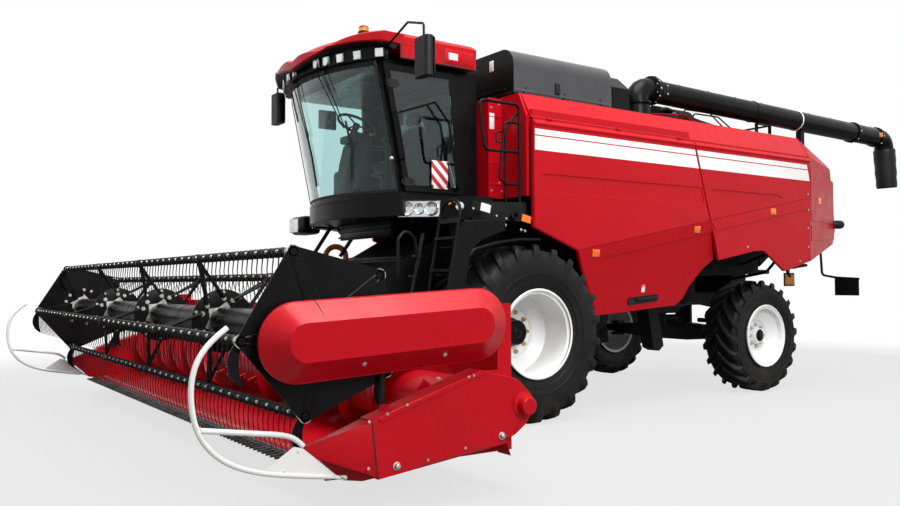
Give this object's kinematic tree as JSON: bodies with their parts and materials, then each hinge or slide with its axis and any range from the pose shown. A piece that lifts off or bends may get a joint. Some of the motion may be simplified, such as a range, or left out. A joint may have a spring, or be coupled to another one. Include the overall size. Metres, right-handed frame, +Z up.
{
  "type": "combine harvester",
  "caption": "Self-propelled combine harvester with a grain header: turning reel with upright tine bars, swinging unloading auger, steered rear wheels and opening panels.",
  "frame": {"origin": "on the ground, in the middle of the machine's box", "axes": "+Z up; -Y is the driving direction; +X is the machine's left, the side of the cab door and ladder"},
  "size_m": [7.36, 11.7895, 3.9298],
  "materials": {
    "red_paint": "glossy",
    "black_paint": "glossy",
    "matt_black": "satin",
    "wheel_white": "satin",
    "white_paint": "satin",
    "tyre_rubber": "matte",
    "black_plastic": "matte",
    "seat_fabric": "matte",
    "window_glass": "clear",
    "lamp_glass": "clear",
    "amber_lens": "clear",
    "blade_steel": "brushed",
    "chrome_rod": "polished",
    "engine_iron": "matte"
  },
  "bodies": {
    "machine": {"auger_supports": "black_paint", "beacons": "amber_lens", "cab_glass": "window_glass", "cab_interior": "seat_fabric", "cab_platform": "black_paint", "cab_roof": "red_paint", "cab_shell": "black_paint", "chassis_frame": "matt_black", "engine_block": "engine_iron", "engine_deck": "matt_black", "front_axle": "matt_black", "grain_tank": "black_paint", "headlights": "lamp_glass", "ladder": "black_paint", "mirrors": "black_plastic", "platform_rails": "black_paint", "rear_axle": "matt_black", "rear_hood": "red_paint", "rear_lamp_arm": "black_paint", "thresher_body": "matt_black", "upper_body_panels": "red_paint"},
    "front_wheel_left": {"front_tyre_left": "tyre_rubber", "front_rim_left": "wheel_white"},
    "front_wheel_right": {"front_tyre_right": "tyre_rubber", "front_rim_right": "wheel_white"},
    "rear_wheel_left": {"rear_tyre_left": "tyre_rubber", "rear_rim_left": "wheel_white"},
    "rear_wheel_right": {"rear_tyre_right": "tyre_rubber", "rear_rim_right": "wheel_white"},
    "knuckle_left": {"knuckle_left": "matt_black"},
    "knuckle_right": {"knuckle_right": "matt_black"},
    "tie_rod": {"tie_rod": "matt_black"},
    "header": {"feeder_house": "black_paint", "header_frame": "red_paint", "header_shields": "red_paint", "divider_hoops": "white_paint", "knife_guards": "blade_steel"},
    "header_lift_barrels": {"header_lift_barrels": "matt_black"},
    "header_lift_rods": {"header_lift_rods": "chrome_rod"},
    "header_auger": {"header_auger": "red_paint"},
    "knife": {"knife": "blade_steel"},
    "reel_arms": {"reel_arms": "black_paint", "reel_drive_cover": "red_paint"},
    "reel_lift_barrels": {"reel_lift_barrels": "matt_black"},
    "reel_lift_rods": {"reel_lift_rods": "chrome_rod"},
    "reel": {"reel": "black_paint"},
    "unloading_auger": {"unloading_auger": "black_paint"},
    "cab_door": {"cab_door": "black_paint", "cab_door_glass": "window_glass"},
    "side_panel_left": {"side_panel_left": "red_paint"},
    "side_panel_right": {"side_panel_right": "red_paint"},
    "tank_cover_left": {"tank_cover_left": "black_paint"},
    "tank_cover_right": {"tank_cover_right": "black_paint"},
    "steering_wheel": {"steering_wheel": "black_plastic"},
    "reel_bat_1": {"reel_bat_1": "black_paint"},
    "reel_bat_2": {"reel_bat_2": "black_paint"},
    "reel_bat_3": {"reel_bat_3": "black_paint"},
    "reel_bat_4": {"reel_bat_4": "black_paint"},
    "reel_bat_5": {"reel_bat_5": "black_paint"}
  },
  "joints": [
    {"name": "front_wheel_left_spin", "type": "hinge", "parent": "machine", "child": "front_wheel_left", "pos_m": [1.348, -1.895, 0.887], "axis": [1, 0, 0], "continuous": true},
    {"name": "front_wheel_right_spin", "type": "hinge", "parent": "machine", "child": "front_wheel_right", "pos_m": [-1.348, -1.895, 0.887], "axis": [1, 0, 0], "continuous": true},
    {"name": "steer_left", "type": "hinge", "parent": "machine", "child": "knuckle_left", "pos_m": [1.04, 2.075, 0.706], "axis": [0, 0, 1], "range_deg": [-30, 30]},
    {"name": "steer_right", "type": "hinge", "parent": "machine", "child": "knuckle_right", "pos_m": [-1.04, 2.075, 0.706], "axis": [0, 0, 1], "range_deg": [-30, 30]},
    {"name": "rear_wheel_left_spin", "type": "hinge", "parent": "knuckle_left", "child": "rear_wheel_left", "pos_m": [1.3, 2.075, 0.706], "axis": [1, 0, 0], "continuous": true},
    {"name": "rear_wheel_right_spin", "type": "hinge", "parent": "knuckle_right", "child": "rear_wheel_right", "pos_m": [-1.3, 2.075, 0.706], "axis": [1, 0, 0], "continuous": true},
    {"name": "tie_rod_pivot", "type": "hinge", "parent": "knuckle_left", "child": "tie_rod", "pos_m": [1.04, 2.275, 0.628], "axis": [0, 0, 1], "range_deg": [-30, 30]},
    {"name": "header_lift", "type": "hinge", "parent": "machine", "child": "header", "pos_m": [0, -2.045, 1.8], "axis": [-1, 0, 0], "range_deg": [-2.5, 18]},
    {"name": "header_lift_barrel_pivot", "type": "hinge", "parent": "machine", "child": "header_lift_barrels", "pos_m": [0, -2.145, 0.7], "axis": [1, 0, 0], "range_deg": [-20.23, 3.24]},
    {"name": "header_lift_rod_slide", "type": "slide", "parent": "header_lift_barrels", "child": "header_lift_rods", "axis": [0, -0.9871, -0.16], "range_m": [-0.053, 0.347]},
    {"name": "header_auger_spin", "type": "hinge", "parent": "header", "child": "header_auger", "pos_m": [0, -4.095, 0.59], "axis": [1, 0, 0], "continuous": true},
    {"name": "knife_slide", "type": "slide", "parent": "header", "child": "knife", "axis": [1, 0, 0], "range_m": [-0.038, 0.038]},
    {"name": "reel_lift", "type": "hinge", "parent": "header", "child": "reel_arms", "pos_m": [0, -3.84, 1.16], "axis": [-1, 0, 0], "range_deg": [-4, 16]},
    {"name": "reel_lift_barrel_pivot", "type": "hinge", "parent": "header", "child": "reel_lift_barrels", "pos_m": [0, -4.655, 0.6], "axis": [1, 0, 0], "range_deg": [-0.84, 1.88]},
    {"name": "reel_lift_rod_slide", "type": "slide", "parent": "reel_lift_barrels", "child": "reel_lift_rods", "axis": [0, 0, 1], "range_m": [-0.061, 0.231]},
    {"name": "reel_spin", "type": "hinge", "parent": "reel_arms", "child": "reel", "pos_m": [0, -5.042, 1.106], "axis": [1, 0, 0], "continuous": true},
    {"name": "reel_bat_1_spin", "type": "hinge", "parent": "reel", "child": "reel_bat_1", "pos_m": [0, -5.24036, 1.58018], "axis": [1, 0, 0], "continuous": true},
    {"name": "reel_bat_2_spin", "type": "hinge", "parent": "reel", "child": "reel_bat_2", "pos_m": [0, -4.65232, 1.44118], "axis": [1, 0, 0], "continuous": true},
    {"name": "reel_bat_3_spin", "type": "hinge", "parent": "reel", "child": "reel_bat_3", "pos_m": [0, -4.60281, 0.83897], "axis": [1, 0, 0], "continuous": true},
    {"name": "reel_bat_4_spin", "type": "hinge", "parent": "reel", "child": "reel_bat_4", "pos_m": [0, -5.16025, 0.60579], "axis": [1, 0, 0], "continuous": true},
    {"name": "reel_bat_5_spin", "type": "hinge", "parent": "reel", "child": "reel_bat_5", "pos_m": [0, -5.55427, 1.06388], "axis": [1, 0, 0], "continuous": true},
    {"name": "unloading_auger_swing", "type": "hinge", "parent": "machine", "child": "unloading_auger", "pos_m": [1.2, 0.105, 3.68], "axis": [0, 0, -1], "range_deg": [0, 100]},
    {"name": "cab_door_swing", "type": "hinge", "parent": "machine", "child": "cab_door", "pos_m": [1.032, -3.11, 2.85], "axis": [0, 0.2008, -0.9796], "range_deg": [0, 80]},
    {"name": "side_panel_left_lift", "type": "hinge", "parent": "machine", "child": "side_panel_left", "pos_m": [1.622, -0.395, 3.047], "axis": [0, -1, 0], "range_deg": [0, 75]},
    {"name": "side_panel_right_lift", "type": "hinge", "parent": "machine", "child": "side_panel_right", "pos_m": [-1.622, -0.395, 3.047], "axis": [0, 1, 0], "range_deg": [0, 75]},
    {"name": "tank_cover_left_fold", "type": "hinge", "parent": "machine", "child": "tank_cover_left", "pos_m": [1.344, -1.155, 3.36], "axis": [0, 1, 0], "range_deg": [0, 90]},
    {"name": "tank_cover_right_fold", "type": "hinge", "parent": "machine", "child": "tank_cover_right", "pos_m": [-1.344, -1.155, 3.36], "axis": [0, -1, 0], "range_deg": [0, 90]},
    {"name": "steering_wheel_spin", "type": "hinge", "parent": "machine", "child": "steering_wheel", "pos_m": [0, -2.987, 3.066], "axis": [0, 0.4104, 0.9119], "continuous": true}
  ],
  "couplings": [
    {"joint": "steer_right", "follows": "steer_left", "ratio": 1},
    {"joint": "tie_rod_pivot", "follows": "steer_left", "ratio": -1},
    {"joint": "header_lift_barrel_pivot", "follows": "header_lift", "ratio": -1.0962},
    {"joint": "header_lift_rod_slide", "follows": "header_lift", "m_per_rad": 1.0899},
    {"joint": "reel_lift_barrel_pivot", "follows": "reel_lift", "ratio": 0.08613},
    {"joint": "reel_lift_rod_slide", "follows": "reel_lift", "m_per_rad": 0.80896},
    {"joint": "reel_bat_1_spin", "follows": "reel_spin", "ratio": -1},
    {"joint": "reel_bat_2_spin", "follows": "reel_spin", "ratio": -1},
    {"joint": "reel_bat_3_spin", "follows": "reel_spin", "ratio": -1},
    {"joint": "reel_bat_4_spin", "follows": "reel_spin", "ratio": -1},
    {"joint": "reel_bat_5_spin", "follows": "reel_spin", "ratio": -1}
  ]
}
